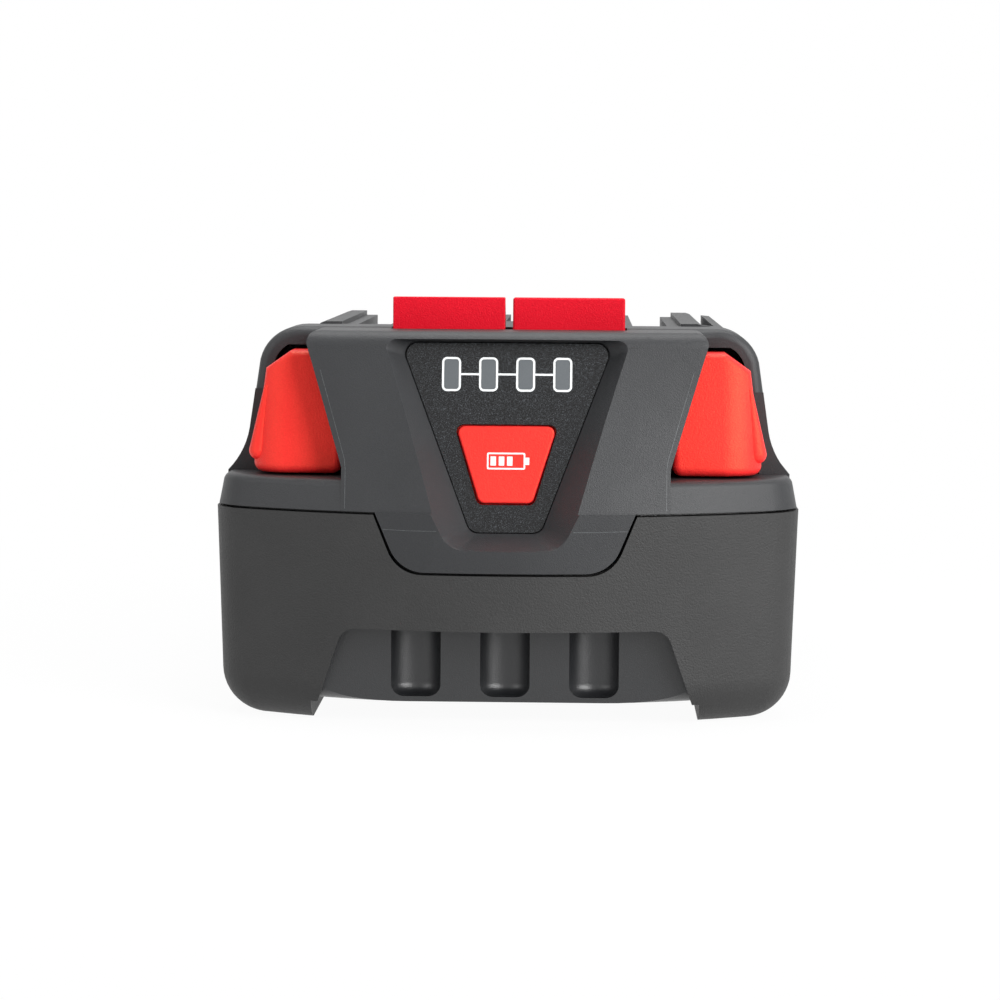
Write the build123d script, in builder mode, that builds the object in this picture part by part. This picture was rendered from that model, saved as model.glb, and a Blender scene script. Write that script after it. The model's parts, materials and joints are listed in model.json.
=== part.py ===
from build123d import *
import os
from math import cos, radians, sin, sqrt, tan

# Slide-on battery pack for a cordless tool, five round cells lying side by side across the pack.
# Millimetres. X runs across the pack, Y from its front to its back, Z up from the surface
# it stands on. The origin is the middle of the bottom of the whole pack.

# Cells and what lies at their ends
cell_diameter = 18.3
cell_length = 65.0
cell_gap = 0.3
cell_count = 5
strip_thickness = 0.2
insulator_gap = 0.1
insulator_thickness = 0.3
side_space = 3.1

# Walls and clearances
boot_wall = 2.2
shell_wall = 2.0
cover_wall = 2.4
fit_gap = 0.3
seam_gap = 0.35
overrun = 60.0

# Plan of the pack
bow_radius = 71.0
corner_radius = 8.0
holder_margin = 0.5
end_space = 0.5
front_room = 8.9
nose_cut = 0.165

# Heights, from the feet up
foot_height = 2.9
shell_floor = 2.1
holder_under = 1.45
holder_over = 1.25
seam_rise = 3.0
band_height = 4.25
deck_rise = 20.0
tab_rise = 4.4

# Leans in degrees, and the rounding of the feet
boot_lean = 1.9
band_lean = 11.0
foot_fillet = 6.5
shell_fillet = 4.0
band_fillet = 1.2

# What the sizes above give
cell_radius = cell_diameter / 2
cell_pitch = cell_diameter + cell_gap
rows_length = cell_count * cell_diameter + (cell_count - 1) * cell_gap
holder_length = rows_length + 2 * holder_margin
skin = boot_wall + shell_wall
cell_end = cell_length / 2
insulator_in = cell_end + strip_thickness + insulator_gap
insulator_out = insulator_in + insulator_thickness
inner_half = insulator_out + side_space
half_width = inner_half + skin
pack_length = holder_length + 2 * end_space + 2 * skin + front_room
front_y = -(pack_length + nose_cut) / 2
back_y = (pack_length - nose_cut) / 2
rows_back_y = back_y - skin - end_space - holder_margin
rows_mid_y = rows_back_y - rows_length / 2
floor_z = foot_height + shell_floor
cell_z = floor_z + holder_under + cell_radius
holder_top_z = cell_z + cell_radius + holder_over
seam_z = holder_top_z + seam_rise
cover_z = seam_z + seam_gap
ledge_z = cover_z + band_height
deck_z = ledge_z + deck_rise
roof_z = deck_z - cover_wall
tab_top_z = deck_z + tab_rise
travel = tab_rise

# Gauge panel, on a leaning plane whose origin is the middle of the panel's lower edge
panel_lean = 10.0
panel_set_back = 5.0
panel_drop = 2.85
panel_thickness = 1.0
panel_foot_half = 4.75
panel_head_half = 14.5
panel_corner = 1.7
panel_gap = 0.15
panel_head_room = 1.6
panel_floor = 2.2
panel_seat = 1.4
recess_spread = 6.6
recess_drop = 4.6
recess_depth = 7.0
recess_corner = 4.0
recess_head_corner = 0.3

# Front tower: its face leans back from the crease above the seam
crease_drop = 1.3
face_set_back = 7.0
head_bow_radius = 300.0
tower_head_half = 27.9
tower_neck_half = 22.3
tower_neck_rise = 1.6
parting_set_in = 0.7
tower_corner = 1.6
tower_roll = 2.4

# Hood over each release button, and the shoulder behind it
hood_set_back = 20.0
hood_length = 11.0
hood_crest = 0.15
hood_radius = 6.07
hood_shrink = 11.4
hood_edge_shrink = 4.1
hood_edge_rise = 5.9
hood_foot_shrink = 1.1
hood_turn = 13.5
hood_crown = 45.0
hood_flare_shrink = 3.0
hood_flare_rise = 2.6
hood_wall = 2.1
hood_rim_fillet = 1.3
shoulder_drop = 6.1
shoulder_half = 34.2
shoulder_fillet = 2.0
rear_lean = 6.0
rear_set_back = 1.8
rear_corner = 10.0

# Rails and the block that the contacts stand in
rails_end = 85.0
block_half = 17.4
channel_half = 22.5
shelf_half = 24.2
ridge_half = 26.6
rail_half = 30.3
shelf_drop = 0.2
ridge_rise = 0.5
rail_fall = 2.2
channel_depth = 8.6
groove_depth = 2.1
groove_low = 2.5
groove_high = 6.0
slot_half_in = 27.2
slot_half_out = 29.0
slot_depth = 3.2

# Hollows of the cover and the ways for the tool's blades
shelf_thickness = 2.0
hatch_half = 15.2
body_half = 33.0
body_corner = 4.0
block_hollow = 48.0
contact_rise = 0.9
blade_far = 12.5
blade_pitch = 5.6
power_slot = 3.2
signal_slot = 2.4
blade_front = 54.0

# Latch tabs
tab_half = 16.1
tab_split = 1.1
tab_set_back = 17.6
tab_foot_depth = 5.0
tab_head_depth = 2.4
tab_ramp_rise = 1.2
flange_side = 0.9
flange_height = 2.0
flange_reach = 5.2
stem_ahead = 0.6
stem_thickness = 2.4
stem_width = 9.0
stem_drop = 6.3
pin_x = 9.5
pin_radius = 1.2
pin_drop = 3.7
slot_slant = 45.0
arm_gap = 0.4
arm_over = 3.1
arm_end = 5.2
hole_gap = 0.05

# Release buttons
button_in = 22.6
button_foot_shrink = 5.2
button_head_shrink = 7.0
button_top_shrink = 10.4
button_shoulder = 14.6
button_rise = 17.0
button_corner = 1.4
button_bend = 6.0
button_round = 1.1
button_tail_room = 2.0
rib_radius = 1.3
rib_tip_radius = 0.3
rib_length = 9.0
rib_low = 3.2
rib_set_back = 13.6
rib_sunk = 0.4

# Latch frame and springs
base_thickness = 2.0
frame_half = 17.0
guide_width = 1.2
peg_height = 4.0
spring_radius = 2.0
spring_wire = 0.6
spring_turns = 6
spring_seat = 0.05
spring_x = 10.0

# Gauge parts, on the panel's plane
gauge_foot_half = 3.6
gauge_head_half = 6.9
gauge_foot = 4.0
gauge_head = 14.5
gauge_corner = 1.0
gauge_travel = 0.6
button_gap = 0.25
button_proud = 0.5
key_round = 0.3
flange_out = 0.7
flange_thickness = 0.6
window_count = 4
window_pitch = 5.05
window_height_up = 21.6
window_width = 2.0
window_height = 4.1
window_corner = 0.4
board_thickness = 1.6
lamp_height = 0.6
lamp_size = 1.6
switch_size = 3.6

# Cell ends, holders and strips
cap_height = 0.6
cap_radius = 4.5
cell_play = 0.1
holder_in = 20.5
strip_width = 9.0
riser_width = 4.0
strip_foot = 3.2
bead_radius = 1.2
bead_length = 6.0

# Control board, its screws and posts
post_height = 2.4
post_radius = 2.2
post_x = 26.0
post_edge = 4.0
small_radius = 0.8
small_head_radius = 1.6
small_head_height = 1.0
board_half = 31.8
board_corner = 2.0
board_front = 20.0
board_rear = 9.0
chip_x = 22.0

# Contact block, contacts and flat cable
block_wall = 1.5
block_front = 51.5
leg_thickness = 0.8
leg_width = 3.0
leaf_thickness = 0.4
leaf_height = 4.6
leaf_length = 14.0
cable_thickness = 0.2
cable_width = 6.0

# Housing screws
screw_radius = 1.05
head_radius = 1.9
head_height = 1.6
boss_radius = 2.0
screw_bite = 6.5
screw_front = 35.0
screw_rear = 12.0
screw_seat = 2.5

# Tongue of the cover in the front of the boot
tongue_top_half = 17.6
tongue_foot_half = 14.2
tongue_depth = 8.0
tongue_corner = 5.0
tongue_shoulder = 1.2

# Hand hold cut in the front of the boot, with its flutes
hold_rise = 8.4
hold_top_half = 22.0
hold_foot_half = 26.6
hold_corner = 2.5
hold_depth = 7.6
hold_head = 1.6
flute_count = 3
flute_pitch = 12.2
flute_radius = 3.6
flute_out = 1.2
flute_foot = 0.7
flute_fillet = 1.7
front_wall = 4.5
tub_gap = 0.3

panel_z = cover_z - panel_drop
panel_height = (deck_z - panel_head_room - panel_z) / cos(radians(panel_lean))
panel_plane = Plane(
    origin=(0, front_y + panel_set_back, panel_z), x_dir=(1, 0, 0), z_dir=(0, -1, tan(radians(panel_lean)))
)
wall_depth = panel_thickness + panel_gap + panel_floor
wall_plane = panel_plane.offset(-wall_depth)
hood_top_half = half_width - hood_shrink
button_foot = half_width - button_foot_shrink
button_head = half_width - button_head_shrink
button_top = half_width - button_top_shrink
hood_y = front_y + hood_set_back
hood_back_y = hood_y + hood_length
tower_back_y = hood_back_y
rails_back_y = front_y + rails_end
channel_z = deck_z - channel_depth
block_back_y = front_y + block_hollow
blade_front_y = front_y + blade_front
tab_y = front_y + tab_set_back
screw_xs = (-insulator_out - hole_gap - boss_radius, insulator_out + hole_gap + boss_radius)
screw_ys = (front_y + screw_front, back_y - screw_rear)
screw_seat_z = foot_height + screw_seat
stand = (Align.CENTER, Align.CENTER, Align.MIN)
board_front_y = front_y + board_front
board_back_y = back_y - board_rear
block_front_y = front_y + block_front
leg_y = blade_front_y + leg_width / 2
leaf_end_y = leg_y + leaf_length
shoulder_z = deck_z - shoulder_drop
hold_top_z = floor_z + hold_rise
hold_y = front_y + hold_depth


def outline(inset):
    """Outline of the pack from above, moved in by inset: bowed front, straight sides and back."""
    half = half_width - inset
    radius = bow_radius - inset
    middle_y = front_y + bow_radius
    side_y = middle_y - sqrt(radius**2 - half**2)
    with BuildSketch() as plan:
        with BuildLine():
            ThreePointArc((-half, side_y), (0, middle_y - radius), (half, side_y))
            Polyline((half, side_y), (half, back_y - inset), (-half, back_y - inset), (-half, side_y))
        make_face()
        fillet(plan.vertices(), corner_radius - inset)
    return plan.sketch


def trapezoid(foot_half, head_half, foot, head, foot_corner, head_corner):
    """Upright trapezoid between two heights of a sketch, with rounded corners."""
    with BuildSketch() as shape:
        with BuildLine():
            Polyline((-foot_half, foot), (foot_half, foot), (head_half, head), (-head_half, head), close=True)
        make_face()
        fillet(shape.vertices().group_by(Axis.Y)[0], foot_corner)
        fillet(shape.vertices().group_by(Axis.Y)[-1], head_corner)
    return shape.sketch


def save(builder, name):
    """Names a finished piece and writes it to its own file."""
    builder.part.label = name
    export_step(builder.part, f"parts/{name}.step")


os.makedirs("parts", exist_ok=True)

# Hand hold, as the solid that is cut away: a trapezoid seen from the front
hold_slope = (hold_foot_half - hold_top_half) / hold_top_z


def hand_hold(head, depth):
    """Space of the hand hold up to the height head, from in front of the pack to depth."""
    low = -foot_height
    foot_half = hold_foot_half - hold_slope * low
    head_half = hold_foot_half - hold_slope * head
    with BuildPart() as space:
        with BuildSketch(Plane.XZ.offset(-front_y - depth)):
            add(trapezoid(foot_half, head_half, low, head, hold_corner, hold_corner))
        extrude(amount=depth + overrun)
    return space.part


# Tongue seen from the front, as the notch in the boot, larger by gap
def tongue_shape(gap):
    """Outline of the tongue, seen from the front, grown by gap at its sides and foot."""
    foot = cover_z - tongue_depth - gap
    with BuildSketch() as shape:
        with BuildLine():
            Polyline(
                (-tongue_foot_half - gap, foot),
                (tongue_foot_half + gap, foot),
                (tongue_top_half + gap, cover_z),
                (tongue_top_half + gap, cover_z + overrun),
                (-tongue_top_half - gap, cover_z + overrun),
                (-tongue_top_half - gap, cover_z),
                close=True,
            )
        make_face()
        fillet(shape.vertices().group_by(Axis.Y)[1], tongue_shoulder)
        fillet(shape.vertices().group_by(Axis.Y)[0], tongue_corner)
    return shape.sketch


# Blank of the lower shell, which is also the space inside the boot
with BuildPart() as shell_blank:
    with BuildSketch(Plane.XY.offset(foot_height)):
        add(outline(boot_wall))
    extrude(amount=cover_z - foot_height)
    fillet(shell_blank.faces().sort_by(Axis.Z)[0].edges(), shell_fillet)

with BuildPart() as outer_boot:
    with BuildSketch(Plane.XY.offset(seam_z)):
        add(outline(0))
    extrude(amount=-seam_z, taper=boot_lean)
    fillet(outer_boot.faces().sort_by(Axis.Z)[0].edges(), foot_fillet)
    add(shell_blank.part, mode=Mode.SUBTRACT)
    add(hand_hold(hold_top_z, hold_depth + overrun), mode=Mode.SUBTRACT)
    with BuildSketch(Plane.XZ.offset(-back_y - overrun)):
        with Locations((0, foot_height / 2)):
            Rectangle(2 * hold_foot_half, foot_height)
    extrude(amount=2 * overrun + pack_length, mode=Mode.SUBTRACT)
    with BuildSketch(Plane.XZ):
        add(tongue_shape(seam_gap))
    extrude(amount=overrun + pack_length, mode=Mode.SUBTRACT)
    with Locations(*[(x, y, 0) for x in screw_xs for y in screw_ys]):
        Cylinder(head_radius + fit_gap, screw_seat_z, align=stand, mode=Mode.SUBTRACT)
save(outer_boot, "outer_boot")

# Lower shell: a tub whose front wall is thick behind the hand hold and open behind the tongue
with BuildPart() as flutes:
    flute_z = foot_height + flute_foot
    with Locations(
        *[
            ((place - (flute_count - 1) / 2) * flute_pitch, hold_y - flute_out, flute_z)
            for place in range(flute_count)
        ]
    ):
        Cylinder(flute_radius, hold_top_z + hold_head - flute_z, align=stand)
    fillet(flutes.faces().group_by(Axis.Z)[0].edges(), flute_fillet)

with BuildPart() as lower_shell:
    add(shell_blank.part)
    with BuildSketch(Plane.XY.offset(hold_top_z + hold_head + shell_wall)):
        add(outline(skin))
    extrude(amount=overrun, mode=Mode.SUBTRACT)
    with BuildSketch(Plane.XY.offset(floor_z)):
        add(outline(skin))
        with Locations((0, hold_y + front_wall - overrun / 2)):
            Rectangle(2 * half_width, overrun, mode=Mode.SUBTRACT)
    extrude(amount=overrun, mode=Mode.SUBTRACT)
    add(hand_hold(hold_top_z + hold_head, hold_depth), mode=Mode.SUBTRACT)
    add(flutes.part, mode=Mode.SUBTRACT)
    with BuildSketch(Plane.XZ.offset(-front_y - skin - panel_set_back)):
        add(tongue_shape(tub_gap))
    extrude(amount=overrun, mode=Mode.SUBTRACT)
    with Locations(*[(x, y, floor_z) for x in screw_xs for y in screw_ys]):
        Cylinder(boss_radius, cover_z - floor_z, align=stand)
    with Locations(*[(x, y, 0) for x in screw_xs for y in screw_ys]):
        Cylinder(screw_radius + hole_gap, cover_z, align=stand, mode=Mode.SUBTRACT)
        Cylinder(head_radius + hole_gap, screw_seat_z, align=stand, mode=Mode.SUBTRACT)
save(lower_shell, "lower_shell")


# Top cover: band above the seam, tongue, front tower, hoods, rails and contact block in one
def hood_face(inset, foot):
    """Section of the hood from the front, from the height foot up, moved in by inset."""
    top = deck_z + hood_crest - inset
    turn_z = deck_z + hood_crest - hood_radius
    turn = hood_radius - inset
    tip = (hood_top_half + turn * cos(radians(hood_turn)), turn_z + turn * sin(radians(hood_turn)))
    steep = radians(hood_turn + hood_crown)
    crown = (hood_top_half + turn * sin(steep), turn_z + turn * cos(steep))
    edge = (half_width - hood_edge_shrink - inset, ledge_z + hood_edge_rise)
    flare = (half_width - hood_flare_shrink - inset, ledge_z + hood_flare_rise)
    rim = (half_width - hood_foot_shrink - inset, ledge_z)
    with BuildSketch() as face:
        with BuildLine() as right:
            if inset > 0:
                straight_x = edge[0] + (edge[0] - tip[0]) * (edge[1] - foot) / (tip[1] - edge[1])
                Polyline((0, foot), (straight_x, foot), edge)
            else:
                Polyline((0, foot), (rim[0], foot), rim)
                ThreePointArc(rim, flare, edge)
            Line(edge, tip)
            ThreePointArc(tip, crown, (hood_top_half, top))
            Line((hood_top_half, top), (0, top))
            mirror(right.line, about=Plane.YZ)
        make_face()
    return face.sketch


def arch(inset, foot, front, back):
    """Solid of the hood's section between two places along the pack."""
    with BuildPart() as solid:
        with BuildSketch(Plane.XZ.offset(-back)):
            add(hood_face(inset, foot))
        extrude(amount=back - front)
    return solid.part


def rounded_arch(front, back):
    """The hood with its front outer edge rounded."""
    with BuildPart() as solid:
        add(arch(0, ledge_z - band_fillet, front, back))
        rim = solid.faces().sort_by(Axis.Y)[0].edges().filter_by(lambda edge: edge.center().Z > ledge_z)
        fillet(rim, hood_rim_fillet)
    return solid.part


with BuildPart() as tower:
    with BuildSketch(Plane.XY.offset(cover_z - crease_drop)):
        add(outline(0))
        with Locations((0, tower_back_y - overrun)):
            Rectangle(2 * tower_head_half + 2 * tower_corner, 2 * overrun, mode=Mode.INTERSECT)
    with BuildSketch(Plane.XY.offset(deck_z)):
        with BuildLine():
            reach = tower_head_half + tower_corner
            head_y = front_y + face_set_back
            wing_y = head_y + head_bow_radius - sqrt(head_bow_radius**2 - reach**2)
            ThreePointArc((-reach, wing_y), (0, head_y), (reach, wing_y))
            Polyline((reach, wing_y), (reach, tower_back_y), (-reach, tower_back_y), (-reach, wing_y))
        make_face()
    loft()
    fillet(tower.faces().sort_by(Axis.Z)[-1].edges().sort_by(Axis.Y)[0], tower_roll)
    with BuildSketch(Plane.XZ.offset(overrun)) as tower_front:
        with BuildLine():
            Polyline(
                (-tower_neck_half, cover_z),
                (tower_neck_half, cover_z),
                (tower_neck_half, ledge_z + tower_neck_rise),
                (tower_head_half, deck_z),
                (-tower_head_half, deck_z),
                (-tower_neck_half, ledge_z + tower_neck_rise),
                close=True,
            )
        make_face()
        fillet(tower_front.vertices().group_by(Axis.Y)[-1], tower_corner)
    extrude(amount=-2 * overrun, mode=Mode.INTERSECT)

with BuildPart() as tongue:
    with BuildSketch(Plane.XY.offset(cover_z)):
        add(outline(0))
    extrude(amount=-tongue_depth, taper=boot_lean)
    with BuildSketch(Plane.XZ.offset(overrun)):
        add(tongue_shape(0))
    extrude(amount=-2 * overrun, mode=Mode.INTERSECT)
    split(bisect_by=wall_plane, keep=Keep.TOP)

# Body behind the front tower, before its hollow is cut: hood section low down, shoulders, rails
with BuildPart() as rear_body:
    with BuildSketch(Plane.XZ.offset(-back_y)):
        add(hood_face(0, cover_z))
        with Locations((0, channel_z + overrun / 2)):
            Rectangle(2 * half_width, overrun, mode=Mode.SUBTRACT)
    extrude(amount=back_y - hood_y)
    for side in (-1, 1):
        with BuildSketch(Plane.XZ.offset(-rails_back_y)):
            with BuildLine():
                wall_top = rail_fall if side < 0 else 0
                Polyline(
                    (side * channel_half, channel_z - cover_wall),
                    (side * channel_half, deck_z - shelf_drop),
                    (side * shelf_half, deck_z - shelf_drop),
                    (side * shelf_half, deck_z + ridge_rise),
                    (side * ridge_half, deck_z + ridge_rise),
                    (side * slot_half_in, deck_z + ridge_rise - shelf_drop),
                    (side * rail_half, deck_z - wall_top),
                    (side * rail_half, shoulder_z),
                    (side * shoulder_half, shoulder_z),
                    (side * (shoulder_half + shoulder_fillet / 2), channel_z - cover_wall),
                    close=True,
                )
            make_face()
        extrude(amount=rails_back_y - hood_back_y)
    with BuildSketch(Plane.XZ.offset(-rails_back_y)):
        with Locations((0, (channel_z + deck_z) / 2)):
            Rectangle(2 * block_half, deck_z - channel_z)
    extrude(amount=rails_back_y - hood_back_y)
    with BuildSketch(Plane.XY.offset(cover_z)):
        with Locations((0, back_y - rear_set_back - overrun)):
            RectangleRounded(2 * half_width, 2 * overrun, rear_corner)
    extrude(amount=overrun, taper=rear_lean, mode=Mode.INTERSECT)

with BuildPart() as band:
    with BuildSketch(Plane.XY.offset(cover_z - crease_drop)):
        add(outline(0))
    extrude(amount=crease_drop + band_height, taper=band_lean)
    fillet(band.faces().sort_by(Axis.Z)[-1].edges(), band_fillet)
    split(bisect_by=Plane.XY.offset(cover_z), keep=Keep.TOP)
    with BuildSketch(Plane.XY.offset(cover_z)):
        with Locations((0, hood_y - overrun)):
            Rectangle(2 * (tower_neck_half - parting_set_in), 2 * overrun)
    extrude(amount=overrun, mode=Mode.SUBTRACT)

# Recess round the gauge panel: its floor is the panel's outline, its walls spread outwards
spread = (panel_head_half - panel_foot_half) / panel_height


def panel_shape(grow, foot, head, foot_corner, head_corner):
    """Outline of the gauge panel on its plane, grown sideways by grow, from foot to head."""
    foot_half = panel_foot_half + grow + spread * foot
    head_half = panel_foot_half + grow + spread * head
    return trapezoid(foot_half, head_half, foot, head, foot_corner, head_corner)


with BuildPart() as recess:
    with BuildSketch(panel_plane):
        add(panel_shape(panel_gap, -panel_gap, panel_height + panel_gap, panel_corner, panel_corner))
    with BuildSketch(panel_plane.offset(recess_depth)):
        add(
            panel_shape(
                recess_spread, -recess_drop, panel_height + panel_gap, recess_corner, recess_head_corner
            )
        )
    loft(ruled=True)
    with BuildSketch(panel_plane):
        add(panel_shape(panel_gap, -panel_gap, panel_height + panel_gap, panel_corner, panel_corner))
    extrude(amount=-panel_thickness - panel_gap)

# Pockets of the release buttons, joined under the deck
with BuildPart() as pockets:
    add(arch(hood_wall, cover_z, front_y, hood_back_y - hood_wall))
    split(bisect_by=Plane.XY.offset(ledge_z), keep=Keep.TOP)
    split(bisect_by=Plane.XY.offset(roof_z), keep=Keep.BOTTOM)

# Hollows of the cover: under the band, round the latch, under the rails and under the block
with BuildPart() as cover_hollow:
    with BuildSketch(Plane.XY.offset(cover_z)):
        add(outline(skin))
    extrude(amount=band_height - shelf_thickness)
    with BuildSketch(Plane.XY.offset(cover_z)):
        with Locations((0, (front_y + block_back_y) / 2)):
            Rectangle(2 * hatch_half, block_back_y - front_y)
    extrude(amount=roof_z - cover_z)
    add(pockets.part)
    with BuildSketch(Plane.XY.offset(cover_z)):
        with Locations((0, (hood_back_y + back_y - skin) / 2)):
            RectangleRounded(2 * body_half, back_y - skin - hood_back_y, body_corner)
    extrude(amount=channel_z - cover_wall - cover_z)
    with BuildSketch(Plane.XY.offset(cover_z)):
        with Locations((0, (block_back_y + rails_back_y - cover_wall) / 2)):
            Rectangle(2 * hatch_half, rails_back_y - cover_wall - block_back_y)
    extrude(amount=channel_z + contact_rise - cover_z)
    split(bisect_by=wall_plane, keep=Keep.BOTTOM)
    split(bisect_by=Plane.XZ.offset(-back_y + skin), keep=Keep.TOP)

# Ways for the tool's blades through the contact block, open above and behind
blade_places = [(-blade_far, power_slot), (blade_far, power_slot)]
blade_places += [(place * blade_pitch, signal_slot) for place in (-1, 0, 1)]

with BuildPart() as blade_ways:
    for way_x, way_width in blade_places:
        with BuildSketch(Plane.XY.offset(channel_z + contact_rise)):
            with Locations((way_x, (blade_front_y + rails_back_y) / 2 + way_width)):
                SlotCenterToCenter(rails_back_y - blade_front_y + 2 * way_width, way_width, rotation=90)
        extrude(amount=overrun)

# Grooves cut sideways into the rails from the channels, and the slot in the right rail
with BuildPart() as rail_cuts:
    for side in (-1, 1):
        with BuildSketch(Plane.XZ.offset(-back_y)):
            with Locations((side * channel_half, channel_z + (groove_low + groove_high) / 2)):
                Rectangle(2 * groove_depth, groove_high - groove_low)
        extrude(amount=back_y - hood_back_y)
    with BuildSketch(Plane.XZ.offset(-back_y)):
        with Locations(((slot_half_in + slot_half_out) / 2, deck_z)):
            Rectangle(slot_half_out - slot_half_in, 2 * slot_depth)
    extrude(amount=back_y - hood_back_y - cover_wall)

# Hole in the deck for the two latch tabs
tab_back_y = tab_y + tab_foot_depth
with BuildPart() as tab_hole:
    with BuildSketch(Plane.XY.offset(roof_z - overrun / 2)):
        with Locations((0, (tab_y + tab_back_y) / 2)):
            Rectangle(2 * (tab_half + fit_gap), tab_foot_depth + 2 * fit_gap)
    extrude(amount=overrun)

# Window in the panel's seat, through which the gauge board looks at the panel
with BuildPart() as seat_window:
    with BuildSketch(panel_plane):
        add(panel_shape(-panel_seat, panel_seat, panel_height - panel_seat, gauge_corner, gauge_corner))
    extrude(amount=-2 * wall_depth)

with BuildPart() as top_cover:
    add(band.part)
    add(tongue.part)
    add(tower.part)
    add(rounded_arch(hood_y, hood_back_y))
    add(rear_body.part)
    add(recess.part, mode=Mode.SUBTRACT)
    add(cover_hollow.part, mode=Mode.SUBTRACT)
    add(blade_ways.part, mode=Mode.SUBTRACT)
    add(rail_cuts.part, mode=Mode.SUBTRACT)
    add(tab_hole.part, mode=Mode.SUBTRACT)
    add(seat_window.part, mode=Mode.SUBTRACT)
    with Locations(*[(x, y, cover_z) for x in screw_xs for y in screw_ys]):
        Cylinder(screw_radius + hole_gap, screw_bite, align=stand, mode=Mode.SUBTRACT)
save(top_cover, "top_cover")

# Screws up through the lower shell into the cover
with BuildPart() as housing_screws:
    with Locations(*[(x, y, screw_seat_z) for x in screw_xs for y in screw_ys]):
        Cylinder(screw_radius, cover_z + screw_bite - hole_gap - screw_seat_z, align=stand)
        Cylinder(head_radius, head_height, align=(Align.CENTER, Align.CENTER, Align.MAX))
save(housing_screws, "housing_screws")

# Gauge: panel, windows, button, board with its lamps and switch
def at_panel(depth):
    """Plane parallel to the panel, at a depth behind its face."""
    return panel_plane.offset(-depth)


button_shape = (gauge_foot_half, gauge_head_half, gauge_foot, gauge_head)
window_xs = [(place - (window_count - 1) / 2) * window_pitch for place in range(window_count)]
lamp_places = [(x, window_height_up) for x in window_xs]
board_depth = wall_depth
board_head = (roof_z - fit_gap - panel_z) / cos(radians(panel_lean))

with BuildPart() as gauge_panel:
    with BuildSketch(panel_plane):
        add(panel_shape(0, 0, panel_height, panel_corner, panel_corner))
        add(
            trapezoid(
                gauge_foot_half + button_gap,
                gauge_head_half + button_gap,
                gauge_foot - button_gap,
                gauge_head + button_gap,
                gauge_corner,
                gauge_corner,
            ),
            mode=Mode.SUBTRACT,
        )
        with Locations(*lamp_places):
            RectangleRounded(window_width, window_height, window_corner, mode=Mode.SUBTRACT)
    extrude(amount=-panel_thickness)
save(gauge_panel, "gauge_panel")

with BuildPart() as gauge_windows:
    with BuildSketch(panel_plane):
        with Locations(*lamp_places):
            RectangleRounded(window_width, window_height, window_corner)
    extrude(amount=-(board_depth - lamp_height - panel_gap))
save(gauge_windows, "gauge_windows")

with BuildPart() as gauge_button:
    with BuildSketch(at_panel(-button_proud)):
        add(trapezoid(*button_shape, gauge_corner, gauge_corner))
    extrude(amount=-button_proud - panel_thickness - fit_gap)
    fillet(gauge_button.faces().sort_by(Axis((0, 0, 0), panel_plane.z_dir))[-1].edges(), key_round)
    with BuildSketch(at_panel(panel_thickness + fit_gap)):
        add(
            trapezoid(
                gauge_foot_half + flange_out,
                gauge_head_half + flange_out,
                gauge_foot - flange_out,
                gauge_head + flange_out,
                gauge_corner,
                gauge_corner,
            )
        )
    extrude(amount=-flange_thickness)
save(gauge_button, "gauge_button")

with BuildPart() as gauge_board:
    with BuildSketch(at_panel(board_depth)):
        add(panel_shape(0, 0, board_head, panel_corner, panel_corner))
    extrude(amount=-board_thickness / 2)
save(gauge_board, "gauge_board")

with BuildPart() as gauge_leds:
    with BuildSketch(at_panel(board_depth)):
        with Locations(*lamp_places):
            Rectangle(lamp_size, lamp_size)
    extrude(amount=lamp_height)
save(gauge_leds, "gauge_leds")

gauge_middle = (gauge_foot + gauge_head) / 2
with BuildPart() as gauge_switch:
    with BuildSketch(at_panel(board_depth)):
        with Locations((0, gauge_middle)):
            Rectangle(switch_size, switch_size)
    extrude(amount=lamp_height)
    with BuildSketch(at_panel(board_depth - lamp_height)):
        with Locations((0, gauge_middle)):
            Circle(switch_size / 4)
    stem_rise = board_depth - lamp_height - panel_thickness - fit_gap
    extrude(amount=stem_rise - flange_thickness - gauge_travel - hole_gap)
save(gauge_switch, "gauge_switch")

# Latch: a release button at each side slides inwards, and a slanted slot in its arm
# draws the latch tab of that side down by the same distance
stem_front = tab_y - stem_ahead
stem_back = stem_front + stem_thickness
arm_back = stem_front - arm_gap
arm_front = arm_back - stem_thickness
flange_top_z = roof_z - fit_gap
flange_low_z = flange_top_z - flange_height
pin_z = flange_low_z - pin_drop
base_low_z = ledge_z
flange_back_y = stem_back + flange_reach
spring_y = stem_back + arm_gap + spring_radius + spring_wire / 2
side_names = ((-1, "left"), (1, "right"))
button_plane = wall_plane.offset(-fit_gap)
button_front_y = button_plane.origin.Y + (ledge_z - button_plane.origin.Z) * tan(radians(panel_lean))
lean_up = (0, sin(radians(panel_lean)), cos(radians(panel_lean)))
button_out = button_foot + fit_gap
button_back_y = hood_back_y - hood_wall - button_tail_room
rib_lean = (button_foot - button_head) / button_shoulder
rib_start = (rib_lean * rib_low + rib_sunk - button_foot, front_y + rib_set_back, ledge_z + rib_low)
rib_plane = Plane(origin=rib_start, z_dir=(rib_lean, 0, 1))

# Room for the buttons: free in front of the hoods, inside their walls further back
with BuildPart() as button_room:
    add(arch(hood_wall + fit_gap, cover_z, front_y, hood_back_y))
    with BuildSketch(Plane.XY.offset(ledge_z)):
        with Locations((0, (front_y + hood_y - fit_gap) / 2)):
            Rectangle(2 * half_width, hood_y - fit_gap - front_y)
    extrude(amount=deck_rise)


def at_button_front(edge):
    """Whether an edge bounds the front of the left button, away from its inner end."""
    middle = edge.center()
    return middle.Y < hood_y - 2 * button_round and abs(middle.X) > button_in + fit_gap


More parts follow.
